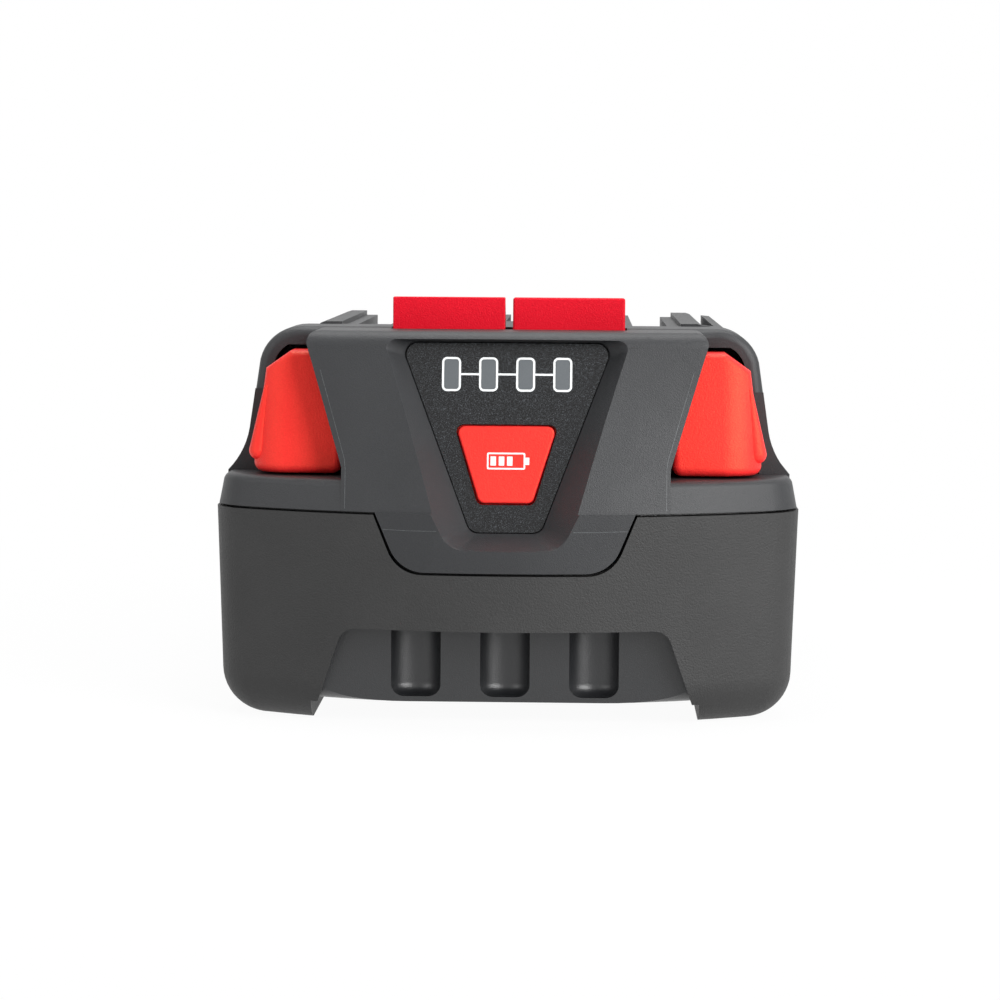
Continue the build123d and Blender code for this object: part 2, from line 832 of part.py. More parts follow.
# Outer form of the left button, with the rib that the thumb pushes on
with BuildPart() as button_form:
    with BuildSketch(Plane.XZ.offset(-button_back_y)) as button_face:
        with BuildLine():
            Polyline(
                (-button_in, ledge_z + fit_gap),
                (-button_foot, ledge_z + fit_gap),
                (-button_head, ledge_z + button_shoulder),
                (-button_top, ledge_z + button_rise),
                (-button_in, ledge_z + button_rise),
                close=True,
            )
        make_face()
        fillet(button_face.vertices().group_by(Axis.Y)[0], button_corner)
    extrude(amount=button_back_y - front_y)
    with BuildSketch(Plane.XY.offset(ledge_z)) as button_plan:
        with Locations((0, button_front_y + overrun / 2)):
            Rectangle(2 * button_out, overrun)
        fillet(button_plan.vertices().group_by(Axis.Y)[0], button_bend)
    extrude(amount=overrun, dir=lean_up, mode=Mode.INTERSECT)
    fillet(button_form.edges().filter_by(at_button_front), button_round)
    add(button_room.part, mode=Mode.INTERSECT)
    with BuildSketch(rib_plane):
        Circle(rib_radius)
    with BuildSketch(rib_plane.offset(rib_length)):
        Circle(rib_tip_radius)
    loft()
    with Locations(rib_plane.origin):
        Sphere(rib_radius)

for side, side_name in side_names:
    with BuildPart() as release_button:
        add(button_form.part if side < 0 else mirror(button_form.part, about=Plane.YZ, mode=Mode.PRIVATE))
        with BuildSketch(Plane.XZ.offset(-arm_back)):
            with BuildLine():
                Polyline(
                    (side * (button_in + arm_gap), pin_z + arm_over),
                    (side * arm_end, pin_z + arm_over),
                    (side * arm_end, pin_z - travel - arm_over),
                    (side * (button_in + arm_gap), pin_z - travel - arm_over),
                    close=True,
                )
            make_face()
            with Locations((side * (pin_x + travel / 2), pin_z - travel / 2)):
                SlotCenterToCenter(
                    travel / cos(radians(slot_slant)),
                    2 * (pin_radius + hole_gap),
                    rotation=-slot_slant * side,
                    mode=Mode.SUBTRACT,
                )
        extrude(amount=stem_thickness)
    save(release_button, f"release_button_{side_name}")

    with BuildPart() as latch_tab:
        with BuildSketch(Plane.YZ.offset(side * tab_split / 2)):
            with BuildLine():
                Polyline(
                    (tab_y, flange_low_z),
                    (tab_y, tab_top_z),
                    (tab_y + tab_head_depth, tab_top_z),
                    (tab_y + tab_foot_depth, deck_z + tab_ramp_rise),
                    (tab_y + tab_foot_depth, flange_low_z),
                    close=True,
                )
            make_face()
        extrude(amount=side * (tab_half - tab_split / 2))
        with BuildSketch(Plane.XY.offset(flange_low_z)):
            flange_in = tab_split / 2
            flange_end = tab_half + flange_side
            with Locations((side * (flange_in + flange_end) / 2, (stem_front + flange_back_y) / 2)):
                Rectangle(flange_end - flange_in, flange_back_y - stem_front)
        extrude(amount=flange_height)
        with BuildSketch(Plane.XZ.offset(-stem_back)):
            with Locations((side * pin_x, flange_low_z - stem_drop / 2)):
                Rectangle(stem_width, stem_drop)
        extrude(amount=stem_thickness)
        with BuildSketch(Plane.XZ.offset(-stem_front)):
            with Locations((side * pin_x, pin_z)):
                Circle(pin_radius)
        extrude(amount=arm_gap + stem_thickness)
    save(latch_tab, f"latch_tab_{side_name}")

    with BuildPart() as latch_spring:
        coil_low = base_low_z + base_thickness + spring_wire / 2 + spring_seat
        coil_high = flange_low_z - spring_wire / 2 - spring_seat
        with BuildLine() as coil:
            Helix((coil_high - coil_low) / spring_turns, coil_high - coil_low, spring_radius)
        with BuildSketch(Plane(origin=coil.line @ 0, z_dir=coil.line % 0)):
            Circle(spring_wire / 2)
        sweep()
    latch_spring.part = Pos(side * spring_x, spring_y, coil_low) * latch_spring.part
    save(latch_spring, f"latch_spring_{side_name}")

# Frame under the latch: carries the springs on pegs and guides the tabs' stems
with BuildPart() as latch_frame:
    with BuildSketch(Plane.XY.offset(base_low_z)):
        with Locations((0, (arm_front + flange_back_y) / 2)):
            Rectangle(2 * frame_half, flange_back_y - arm_front)
    extrude(amount=base_thickness)
    with BuildSketch(Plane.XY.offset(base_low_z + base_thickness)):
        guide_out = stem_width / 2 + arm_gap + guide_width / 2
        with Locations(
            *[
                (side * (pin_x + end * guide_out), (stem_front + stem_back) / 2)
                for side in (-1, 1)
                for end in (-1, 1)
            ]
        ):
            Rectangle(guide_width, stem_thickness)
    extrude(amount=flange_low_z - travel - fit_gap - base_low_z - base_thickness)
    with Locations(*[(side * spring_x, spring_y, base_low_z + base_thickness) for side in (-1, 1)]):
        Cylinder(spring_radius - spring_wire / 2 - fit_gap, peg_height, align=stand)
save(latch_frame, "latch_frame")

# Cells side by side across the pack, turned end for end, so that the strips join them in a chain
cell_ys = [rows_back_y - rows_length + cell_radius + place * cell_pitch for place in range(cell_count)]
for place in range(cell_count):
    plus = 1 if place % 2 == 0 else -1
    with BuildPart() as cell:
        with BuildSketch(Plane(origin=(-plus * cell_end, cell_ys[place], cell_z), z_dir=(plus, 0, 0))):
            Circle(cell_radius)
        extrude(amount=cell_length - cap_height)
        cap_start = (plus * (cell_end - cap_height), cell_ys[place], cell_z)
        with BuildSketch(Plane(origin=cap_start, z_dir=(plus, 0, 0))):
            Circle(cap_radius)
        extrude(amount=cap_height)
    save(cell, f"cell_{place + 1}")

# Cell holders, strips, insulators and foam at each end of the cells
holder_low_z = floor_z + fit_gap
board_z = holder_top_z + post_height
board_top_z = board_z + board_thickness
post_ys = (board_front_y + post_edge, board_back_y - post_edge)
post_places = [(x, y) for x in (-post_x, post_x) for y in post_ys]
strip_cells = {-1: [(0, 1), (2, 3), (4, 4)], 1: [(0, 0), (1, 2), (3, 4)]}
strip_number = 0

for side, side_name in side_names:
    with BuildPart() as cell_holder:
        with BuildSketch(Plane.YZ.offset(side * holder_in)):
            with Locations((rows_mid_y, (holder_low_z + holder_top_z) / 2)):
                Rectangle(holder_length, holder_top_z - holder_low_z)
            with Locations(*[(y, cell_z) for y in cell_ys]):
                Circle(cell_radius + cell_play, mode=Mode.SUBTRACT)
        extrude(amount=side * (cell_end - holder_in))
        with Locations(*[(x, y, holder_top_z) for x, y in post_places if x * side > 0]):
            Cylinder(post_radius, post_height, align=stand)
        with Locations(*[(x, y, holder_top_z - board_thickness) for x, y in post_places if x * side > 0]):
            Cylinder(small_radius + hole_gap, overrun, align=stand, mode=Mode.SUBTRACT)
    save(cell_holder, f"cell_holder_{side_name}")

    with BuildPart() as insulator:
        with BuildSketch(Plane.YZ.offset(side * insulator_in)):
            with Locations((rows_mid_y, (holder_low_z + holder_top_z) / 2)):
                Rectangle(holder_length, holder_top_z - holder_low_z)
        extrude(amount=side * insulator_thickness)
    save(insulator, f"insulator_{side_name}")

    for first, last in strip_cells[side]:
        strip_number += 1
        strip_y = (cell_ys[first] + cell_ys[last]) / 2
        with BuildPart() as strip:
            with BuildSketch(Plane.YZ.offset(side * cell_end)):
                with Locations((strip_y, cell_z)):
                    Rectangle(cell_ys[last] - cell_ys[first] + strip_width, strip_width)
                with Locations((strip_y, (cell_z + board_top_z + strip_thickness) / 2)):
                    Rectangle(riser_width, board_top_z + strip_thickness - cell_z)
            extrude(amount=side * strip_thickness)
            with BuildSketch(Plane.XY.offset(board_top_z)):
                with Locations((side * (cell_end + strip_thickness - strip_foot / 2), strip_y)):
                    Rectangle(strip_foot, riser_width)
            extrude(amount=strip_thickness)
        save(strip, f"nickel_strip_{strip_number}")

with BuildPart() as foam_pads:
    with BuildSketch(Plane.YZ.offset(insulator_out)):
        with Locations(((screw_ys[0] + screw_ys[1]) / 2, cell_z)):
            Rectangle(screw_ys[1] - screw_ys[0] - 4 * boss_radius, 2 * cell_radius - 2 * holder_over)
    extrude(amount=side_space - fit_gap)
    mirror(about=Plane.YZ)
save(foam_pads, "foam_pads")

# Bead of the thermistor, in the groove between two cells
with BuildPart() as thermistor:
    reach = cell_radius + bead_radius + strip_thickness
    bead_z = cell_z + sqrt(reach**2 - (cell_pitch / 2) ** 2)
    with BuildSketch(Plane.YZ.offset(-bead_length / 2)):
        with Locations((cell_ys[2] + cell_pitch / 2, bead_z)):
            Circle(bead_radius)
    extrude(amount=bead_length)
save(thermistor, "thermistor")

# Control board on the holders' posts, with its parts, screws, contact block and contacts
with BuildPart() as control_board:
    with BuildSketch(Plane.XY.offset(board_z)):
        with Locations((0, (board_front_y + board_back_y) / 2)):
            RectangleRounded(2 * board_half, board_back_y - board_front_y, board_corner)
        with Locations(*post_places):
            Circle(small_radius + hole_gap, mode=Mode.SUBTRACT)
    extrude(amount=board_thickness)
save(control_board, "control_board")

with BuildPart() as board_screws:
    with Locations(*[(x, y, board_top_z) for x, y in post_places]):
        Cylinder(small_radius, board_thickness + post_height, align=(Align.CENTER, Align.CENTER, Align.MAX))
        Cylinder(small_head_radius, small_head_height, align=stand)
save(board_screws, "board_screws")

with BuildPart() as board_components:
    coil_y = block_front_y - switch_size * 3
    with Locations(*[(side * switch_size * 2, coil_y, board_top_z) for side in (-1, 1)]):
        Box(2 * switch_size, 2 * switch_size, lamp_height * 2, align=stand)
    with Locations((0, block_front_y - switch_size, board_top_z)):
        Box(2 * switch_size, switch_size, lamp_height, align=stand)
    with Locations(*[(side * chip_x, rows_mid_y, board_top_z) for side in (-1, 1)]):
        Box(switch_size, 3 * switch_size, lamp_height * 2, align=stand)
save(board_components, "board_components")

block_top_z = channel_z + contact_rise - fit_gap
block_half_x = hatch_half - fit_gap
block_rear_y = rails_back_y - cover_wall - fit_gap

with BuildPart() as terminal_block:
    with BuildSketch(Plane.XY.offset(board_top_z)):
        with Locations((0, (block_front_y + block_rear_y) / 2)):
            Rectangle(2 * block_half_x, block_rear_y - block_front_y)
    extrude(amount=block_top_z - board_top_z)
    with BuildSketch(Plane.XY.offset(board_top_z)):
        with Locations((0, (block_front_y + block_rear_y) / 2)):
            Rectangle(
                2 * (block_half_x - block_wall), block_rear_y - block_front_y - 2 * block_wall
            )
    extrude(amount=block_top_z - block_wall - board_top_z, mode=Mode.SUBTRACT)
    with BuildSketch(Plane.XY.offset(board_top_z)):
        with Locations(*[(place[0], leg_y) for place in blade_places]):
            Rectangle(leg_thickness + 2 * hole_gap, leg_width + 2 * hole_gap)
    extrude(amount=overrun, mode=Mode.SUBTRACT)
save(terminal_block, "terminal_block")

contact_names = ("contact_minus", "contact_plus", "contact_signal_1", "contact_signal_2", "contact_signal_3")
for (blade_x, blade_width), contact_name in zip(blade_places, contact_names):
    outer = blade_width / 2 - fit_gap
    inner = outer - leaf_thickness
    with BuildPart() as contact:
        with BuildSketch(Plane.XY.offset(block_top_z)):
            with BuildLine():
                Polyline(
                    (0, leg_y - leg_width / 2),
                    (outer, leg_y - leg_width / 2),
                    (outer, leg_y + leg_width / 2),
                    (leaf_thickness + hole_gap, leaf_end_y - leg_width / 2),
                    (outer, leaf_end_y),
                    (inner, leaf_end_y),
                    (hole_gap, leaf_end_y - leg_width / 2),
                    (inner, leg_y + leg_width / 2),
                    (0, leg_y + leg_width / 2),
                    close=True,
                )
            make_face()
            mirror(about=Plane.YZ)
        extrude(amount=leaf_height)
        with BuildSketch(Plane.XY.offset(board_top_z)):
            with Locations((0, leg_y)):
                Rectangle(leg_thickness, leg_width)
        extrude(amount=block_top_z - board_top_z)
    contact.part = Pos(blade_x, 0, 0) * contact.part
    save(contact, contact_name)

# Flat cable from the gauge board to the control board
cable_foot = at_panel(board_depth + board_thickness / 2).origin
with BuildPart() as gauge_cable:
    with BuildSketch(Plane.YZ.offset(-cable_width / 2)):
        with BuildLine():
            Polyline(
                (cable_foot.Y + cable_width / 6, cable_foot.Z + 2 * cable_width / 3),
                (cable_foot.Y + cable_width / 2, board_top_z + cable_width / 4),
                (board_front_y - cable_width / 4, board_top_z + cable_width / 4),
                (board_front_y + cable_width / 3, board_top_z + cable_thickness),
            )
        trace(line_width=cable_thickness)
    extrude(amount=cable_width)
save(gauge_cable, "gauge_cable")
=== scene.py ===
import json
from math import cos, pi, radians, sin

import bmesh
import bpy
from mathutils import Matrix, Vector
from mathutils.bvhtree import BVHTree


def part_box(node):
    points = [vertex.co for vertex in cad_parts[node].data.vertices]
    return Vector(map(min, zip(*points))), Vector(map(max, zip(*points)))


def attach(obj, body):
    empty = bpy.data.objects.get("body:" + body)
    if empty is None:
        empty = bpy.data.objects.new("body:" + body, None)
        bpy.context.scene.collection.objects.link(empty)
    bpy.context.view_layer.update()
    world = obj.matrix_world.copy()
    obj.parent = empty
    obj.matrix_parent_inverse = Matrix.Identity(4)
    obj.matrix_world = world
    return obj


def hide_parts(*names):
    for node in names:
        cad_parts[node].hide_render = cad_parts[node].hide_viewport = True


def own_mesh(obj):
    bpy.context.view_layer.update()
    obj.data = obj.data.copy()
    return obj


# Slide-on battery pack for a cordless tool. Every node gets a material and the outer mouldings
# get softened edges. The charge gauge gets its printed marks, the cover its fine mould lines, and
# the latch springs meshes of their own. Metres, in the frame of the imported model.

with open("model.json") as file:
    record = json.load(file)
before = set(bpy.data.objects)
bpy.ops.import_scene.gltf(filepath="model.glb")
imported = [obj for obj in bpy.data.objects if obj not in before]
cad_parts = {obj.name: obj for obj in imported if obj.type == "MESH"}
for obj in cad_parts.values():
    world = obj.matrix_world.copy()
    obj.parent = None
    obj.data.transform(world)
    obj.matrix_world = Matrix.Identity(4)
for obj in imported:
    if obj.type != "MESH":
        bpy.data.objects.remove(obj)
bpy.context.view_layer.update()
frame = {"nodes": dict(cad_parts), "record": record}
scene = bpy.context.scene
nodes = frame["nodes"]

MM = 0.001

# Camera, as fitted to the photograph
CAMERA_PLACE = Vector((10.17, -486.1, 69.39)) * MM
CAMERA_YAW = radians(1.439)
CAMERA_PITCH = radians(5.049)
CAMERA_ROLL = 0.0070
SENSOR = 36.0
FOCAL = 116.1

# Floor: how much of it is plain white light, from under the pack to the rim of its soft shadow
FLOOR_NEAR = 0.06
FLOOR_FAR = 0.22
FLOOR_GLOW = 0.95
FLOOR_HALF = 3.0
FLOOR_TONE = (0.9, 0.9, 0.9, 1)
FLOOR_ROUGHNESS = 0.9

# World: weak light on the object, and the white that camera, glossy and transmission rays see
AMBIENT_TONE = (0.97, 0.98, 1.0, 1)
AMBIENT_STRENGTH = 0.18
WHITE_TONE = (1, 1, 1, 1)
WHITE_STRENGTH = 1.0

# Lamps: name, place, target, size and power
LAMPS = (
    ("key", (0.42, -0.42, 0.26), (0.01, 0, 0.03), (0.45, 0.45), 5.0),
    ("fill", (-0.6, -0.45, 0.35), (0, 0, 0.03), (0.35, 0.45), 1.3),
    ("top", (0.0, 0.10, 0.8), (0, 0, 0.03), (0.7, 0.5), 5.0),
)

# Moulded finishes: clouds and fine grain, by noise turns per metre and shares of the noise range
CLOUD_TURNS = 60
CLOUD_DETAIL = 3
GRAIN_DETAIL = 3
GRAIN_ROUGH = 0.6
GRAIN_SHARE = 0.55
TONE_LOW = 0.35
TONE_HIGH = 0.68
SHEEN_SPREAD = 0.06
NOISE_LOW = 0.3
NOISE_HIGH = 0.7

# Label film: a clouded base with light flecks
FILM_TURNS = 90
FILM_LOW = 0.35
FILM_HIGH = 0.65
FLECK_TURNS = 9000
FLECK_LOW = 0.54
FLECK_HIGH = 0.74
FLECK_SHEEN_BELOW = 0.05
FLECK_SHEEN_ABOVE = 0.08
FLECK_HEIGHT = 0.012 * MM

# Metal: faint streaks
STREAK_TURNS = 900
STREAK_SHEEN = 0.07
STREAK_HEIGHT = 0.005 * MM

# Softened edges: what is welded and merged first, and which edges are rounded
WELD = 0.002 * MM
FLAT_ANGLE = radians(0.5)
EDGE_ANGLE = radians(28)
EDGE_SEGMENTS = 3

# Gauge panel
PANEL_LEAN = radians(10.0)
PANEL_THICKNESS = 1.0 * MM
BUTTON_PROUD = 0.5 * MM
PRINT_LIFT = 0.02 * MM
PRINT_DEPTH = 0.03 * MM
WINDOW_COUNT = 4
WINDOW_PITCH = 5.05 * MM
WINDOW_UP = 21.6 * MM
WINDOW_SIZE = (2.0 * MM, 4.1 * MM)
WINDOW_CORNER = 0.4 * MM
STROKE = 0.29 * MM
LINK_WIDTH = 0.27 * MM
LINK_CORNER = LINK_WIDTH / 8
ICON_UP = 9.7 * MM
ICON_SIZE = (5.2 * MM, 2.3 * MM)
ICON_STROKE = 0.22 * MM
ICON_INNER_CORNER = ICON_STROKE / 2
ICON_MARGIN = 2.2 * ICON_STROKE
ICON_BARS = 3
ICON_BAR_SIZE = (0.75 * MM, 1.25 * MM)
ICON_BAR_PITCH = 1.12 * MM
ICON_BAR_CORNER = ICON_STROKE / 3
ICON_NUB = (0.55 * MM, 1.0 * MM)
CORNER_STEPS = 6

# Fine mould lines on the front of the cover: points across and up in millimetres, on both sides.
# They are found by rays towards the back, from a plane in front of the pack.
RAY_START = -1.0
SEAM_WIDTH = 0.09 * MM
SEAM_PROUD = 0.03 * MM
SEAM_STEP = 0.4 * MM
SEAM_PATHS = {
    "pillar": ((25.4, 48.3), (21.9, 36.4), (21.75, 35.0), (21.75, 29.3)),
    "apron": ((16.9, 27.1), (13.0, 27.0), (9.2, 27.0)),
}


# Materials
def colour(code):
    """Linear colour of a six-figure web colour, by the sRGB curve."""
    parts = [int(code[i : i + 2], 16) / 255 for i in (0, 2, 4)]
    return [p / 12.92 if p <= 0.04045 else ((p + 0.055) / 1.055) ** 2.4 for p in parts] + [1.0]


def new_material(name):
    """A node material with a Principled shader: returns it, its node tree and the shader."""
    material = bpy.data.materials.new(name)
    material.use_nodes = True
    tree = material.node_tree
    tree.nodes.clear()
    output = tree.nodes.new("ShaderNodeOutputMaterial")
    shader = tree.nodes.new("ShaderNodeBsdfPrincipled")
    tree.links.new(shader.outputs["BSDF"], output.inputs["Surface"])
    return material, tree, shader


def noise(tree, scale, detail=2.0, rough=0.5):
    """Noise texture in object space, with its scale in turns per metre."""
    place = tree.nodes.new("ShaderNodeTexCoord")
    texture = tree.nodes.new("ShaderNodeTexNoise")
    texture.inputs["Scale"].default_value = scale
    texture.inputs["Detail"].default_value = detail
    texture.inputs["Roughness"].default_value = rough
    tree.links.new(place.outputs["Object"], texture.inputs["Vector"])
    return texture


def ramp(tree, source, low, high, dark, light):
    """Colour ramp from dark at low to light at high."""
    node = tree.nodes.new("ShaderNodeValToRGB")
    node.color_ramp.elements[0].position = low
    node.color_ramp.elements[0].color = dark
    node.color_ramp.elements[1].position = high
    node.color_ramp.elements[1].color = light
    tree.links.new(source, node.inputs["Fac"])
    return node


def spread(tree, source, low, high):
    """Maps a noise value onto the range from low to high."""
    node = tree.nodes.new("ShaderNodeMapRange")
    node.inputs["From Min"].default_value = NOISE_LOW
    node.inputs["From Max"].default_value = NOISE_HIGH
    node.inputs["To Min"].default_value = low
    node.inputs["To Max"].default_value = high
    tree.links.new(source, node.inputs["Value"])
    return node


def bump(tree, shader, source, distance):
    """Bump on the shader, as high as distance where the source is 1."""
    node = tree.nodes.new("ShaderNodeBump")
    node.inputs["Strength"].default_value = 1.0
    node.inputs["Distance"].default_value = distance
    tree.links.new(source, node.inputs["Height"])
    tree.links.new(node.outputs["Normal"], shader.inputs["Normal"])


def moulded(name, dark, light, roughness, grain, depth, specular=0.5, tint=None):
    """Moulded plastic or rubber: two close tones, with grain of a size and depth in millimetres."""
    material, tree, shader = new_material(name)
    cloud = noise(tree, CLOUD_TURNS, CLOUD_DETAIL)
    fine = noise(tree, 1 / (grain * MM), GRAIN_DETAIL, GRAIN_ROUGH)
    mixed = tree.nodes.new("ShaderNodeMix")
    mixed.data_type = "FLOAT"
    mixed.inputs["Factor"].default_value = GRAIN_SHARE
    tree.links.new(cloud.outputs["Fac"], mixed.inputs["A"])
    tree.links.new(fine.outputs["Fac"], mixed.inputs["B"])
    tone = ramp(tree, mixed.outputs["Result"], TONE_LOW, TONE_HIGH, colour(dark), colour(light))
    tree.links.new(tone.outputs["Color"], shader.inputs["Base Color"])
    sheen = spread(
        tree, fine.outputs["Fac"], roughness - SHEEN_SPREAD, roughness + SHEEN_SPREAD
    )
    tree.links.new(sheen.outputs["Result"], shader.inputs["Roughness"])
    shader.inputs["Specular IOR Level"].default_value = specular
    if tint:
        shader.inputs["Specular Tint"].default_value = colour(tint)
    bump(tree, shader, fine.outputs["Fac"], depth * MM)
    return material


def speckled(name, dark, light, fleck, roughness, specular):
    """Dark label film with fine light flecks under a smooth skin."""
    material, tree, shader = new_material(name)
    cloud = noise(tree, FILM_TURNS)
    base = ramp(tree, cloud.outputs["Fac"], FILM_LOW, FILM_HIGH, colour(dark), colour(light))
    dots = noise(tree, FLECK_TURNS, 1)
    black = colour("000000")
    white = colour("ffffff")
    mask = ramp(tree, dots.outputs["Fac"], FLECK_LOW, FLECK_HIGH, black, white)
    mix = tree.nodes.new("ShaderNodeMix")
    mix.data_type = "RGBA"
    tree.links.new(mask.outputs["Color"], mix.inputs["Factor"])
    tree.links.new(base.outputs["Color"], mix.inputs["A"])
    mix.inputs["B"].default_value = colour(fleck)
    tree.links.new(mix.outputs["Result"], shader.inputs["Base Color"])
    sheen = spread(
        tree,
        dots.outputs["Fac"],
        roughness - FLECK_SHEEN_BELOW,
        roughness + FLECK_SHEEN_ABOVE,
    )
    tree.links.new(sheen.outputs["Result"], shader.inputs["Roughness"])
    shader.inputs["Specular IOR Level"].default_value = specular
    bump(tree, shader, dots.outputs["Fac"], FLECK_HEIGHT)
    return material


def metal(name, dark, light, roughness, stretch):
    """Plated or rolled metal with faint streaks, closer together along the stretched axes."""
    material, tree, shader = new_material(name)
    place = tree.nodes.new("ShaderNodeTexCoord")
    mapping = tree.nodes.new("ShaderNodeMapping")
    mapping.inputs["Scale"].default_value = stretch
    texture = tree.nodes.new("ShaderNodeTexNoise")
    texture.inputs["Scale"].default_value = STREAK_TURNS
    tree.links.new(place.outputs["Object"], mapping.inputs["Vector"])
    tree.links.new(mapping.outputs["Vector"], texture.inputs["Vector"])
    tone = ramp(tree, texture.outputs["Fac"], NOISE_LOW, NOISE_HIGH, colour(dark), colour(light))
    tree.links.new(tone.outputs["Color"], shader.inputs["Base Color"])
    sheen = spread(
        tree, texture.outputs["Fac"], roughness - STREAK_SHEEN, roughness + STREAK_SHEEN
    )
    tree.links.new(sheen.outputs["Result"], shader.inputs["Roughness"])
    shader.inputs["Metallic"].default_value = 1.0
    bump(tree, shader, texture.outputs["Fac"], STREAK_HEIGHT)
    return material


# By the record's material slot: name, dark and light tone, roughness, grain, depth, specular level
finishes = {
    "boot": moulded("boot_rubber", "232323", "2f2f2f", 0.55, 0.25, 0.11, 0.4),
    "cover": moulded("cover_plastic", "212224", "2d2e30", 0.48, 0.18, 0.045, 0.4),
    "shell": moulded("shell_plastic", "18191b", "212224", 0.34, 0.18, 0.03, 0.65),
    "panel": speckled("panel_film", "050506", "09090b", "4a4e52", 0.25, 0.4),
    "window": moulded("window_plastic", "585c5f", "64686b", 0.35, 0.12, 0.002, 0.3),
    "red": moulded("red_plastic", "e8282b", "f83233", 0.42, 0.22, 0.07, 0.5, "ffc880"),
    "carrier": moulded("carrier_plastic", "202122", "2a2b2c", 0.5, 0.25, 0.01, 0.4),
    "cell_wrap": moulded("cell_sleeve", "1f6f8f", "2a86a8", 0.25, 0.6, 0.004, 0.5),
    "nickel": metal("nickel", "a8a49b", "c9c5bb", 0.3, (1, 8, 1)),
    "insulator": moulded("insulator_sheet", "d8d0b8", "e6dfca", 0.7, 0.3, 0.01, 0.3),
    "foam": moulded("foam", "222222", "303030", 0.9, 0.5, 0.06, 0.2),
    "board": moulded("solder_mask", "0c4a22", "125c2c", 0.3, 0.3, 0.004, 0.5),
    "component": moulded("component_package", "1c1c1c", "282828", 0.45, 0.2, 0.006, 0.4),
    "led": moulded("lamp_lens", "dfe3d4", "eef1e6", 0.2, 0.3, 0.002, 0.5),
    "contact": metal("contact_plating", "c79a4b", "e0b868", 0.28, (1, 1, 6)),
    "cable": moulded("cable_film", "b56a1a", "c97d2a", 0.35, 0.3, 0.003, 0.5),
    "steel": metal("zinc_plating", "8f9092", "b2b3b5", 0.32, (4, 4, 1)),
}
deep_red = moulded("deep_red_plastic", "d00620", "e00c26", 0.5, 0.22, 0.08, 0.15)
# Mould lines: real raised ridges, with a tone lighter than the cover that is a painted highlight
seam_painted_highlight = moulded("mould_line_painted_highlight", "303234", "5a5d5f", 0.45, 0.5, 0.02, 0.5)
white_ink = moulded("white_ink", "dcdfe0", "eceeee", 0.5, 0.2, 0.002, 0.3)

# How far each visible node's edges are rounded, in millimetres; the rest keep their CAD mesh
SOFTENING = {
    "outer_boot": 0.45,
    "top_cover": 0.40,
    "lower_shell": 0.35,
    "gauge_panel": 0.12,
    "gauge_windows": 0.08,
    "gauge_button": 0.25,
    "release_button_left": 0.8,
    "release_button_right": 0.8,
    "latch_tab_left": 0.5,
    "latch_tab_right": 0.5,
}
slot_of = {part["node"]: part["material_slot"] for part in frame["record"]["subparts"]}
body_of = {}
for body, members in frame["record"]["behaviour"]["bodies"].items():
    for member in members:
        body_of[member] = body


def softened(node, width):
    """Replaces a node with a copy that has welded, flat-merged faces and rounded edges."""
    source = nodes[node].data
    mesh = bpy.data.meshes.new(node + "_soft")
    faces = [tuple(p.vertices) for p in source.polygons]
    mesh.from_pydata([v.co for v in source.vertices], [], faces)
    work = bmesh.new()
    work.from_mesh(mesh)
    bmesh.ops.remove_doubles(work, verts=work.verts, dist=WELD)
    bmesh.ops.dissolve_limit(work, angle_limit=FLAT_ANGLE, verts=work.verts, edges=work.edges)
    work.to_mesh(mesh)
    work.free()
    piece = bpy.data.objects.new(node + "_soft", mesh)
    scene.collection.objects.link(piece)
    mesh.shade_smooth()
    round_edges = piece.modifiers.new("edges", "BEVEL")
    round_edges.width = width * MM
    round_edges.segments = EDGE_SEGMENTS
    round_edges.limit_method = "ANGLE"
    round_edges.angle_limit = EDGE_ANGLE
    round_edges.miter_outer = "MITER_ARC"
    round_edges.use_clamp_overlap = True
    round_edges.harden_normals = False
    even = piece.modifiers.new("normals", "WEIGHTED_NORMAL")
    even.keep_sharp = True
    mesh.materials.append(deep_red if node.startswith("latch_tab") else finishes[slot_of[node]])
    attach(piece, body_of[node])
    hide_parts(node)


for node, item in nodes.items():
    if node in SOFTENING:
        softened(node, SOFTENING[node])
    else:
        item.data.materials.clear()
        item.data.materials.append(finishes[slot_of[node]])

# Each latch spring gets a mesh of its own
for side in ("left", "right"):
    spring = f"latch_spring_{side}"
    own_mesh(nodes[spring])


# Printed marks of the gauge, on the panel's leaning plane
panel_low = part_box("gauge_panel")[0]
panel_foot = Vector((0, panel_low.y, panel_low.z + PANEL_THICKNESS * sin(PANEL_LEAN)))
panel_up = Vector((0, sin(PANEL_LEAN), cos(PANEL_LEAN)))
panel_out = Vector((0, -cos(PANEL_LEAN), sin(PANEL_LEAN)))


def on_panel(x, up, out):
    """Place on the panel: across it, up it and out of its face."""
    return panel_foot + Vector((x, 0, 0)) + panel_up * up + panel_out * out


def rounded(width, height, corner):
    """Points of a rounded rectangle about the origin, anticlockwise."""
    points = []
    for turn, (sx, sy) in enumerate(((1, 1), (-1, 1), (-1, -1), (1, -1))):
        for step in range(CORNER_STEPS + 1):
            angle = (turn + step / CORNER_STEPS) * pi / 2
            points.append((
                sx * (width / 2 - corner) + corner * cos(angle),
                sy * (height / 2 - corner) + corner * sin(angle),
            ))
    return points


def add_piece(name, work, material, body):
    """A piece from a finished bmesh: it rides on a body and takes the material it is given."""
    bmesh.ops.recalc_face_normals(work, faces=work.faces)
    mesh = bpy.data.meshes.new(name)
    work.to_mesh(mesh)
    work.free()
    piece = bpy.data.objects.new(name, mesh)
    scene.collection.objects.link(piece)
    mesh.materials.append(material)
    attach(piece, body)


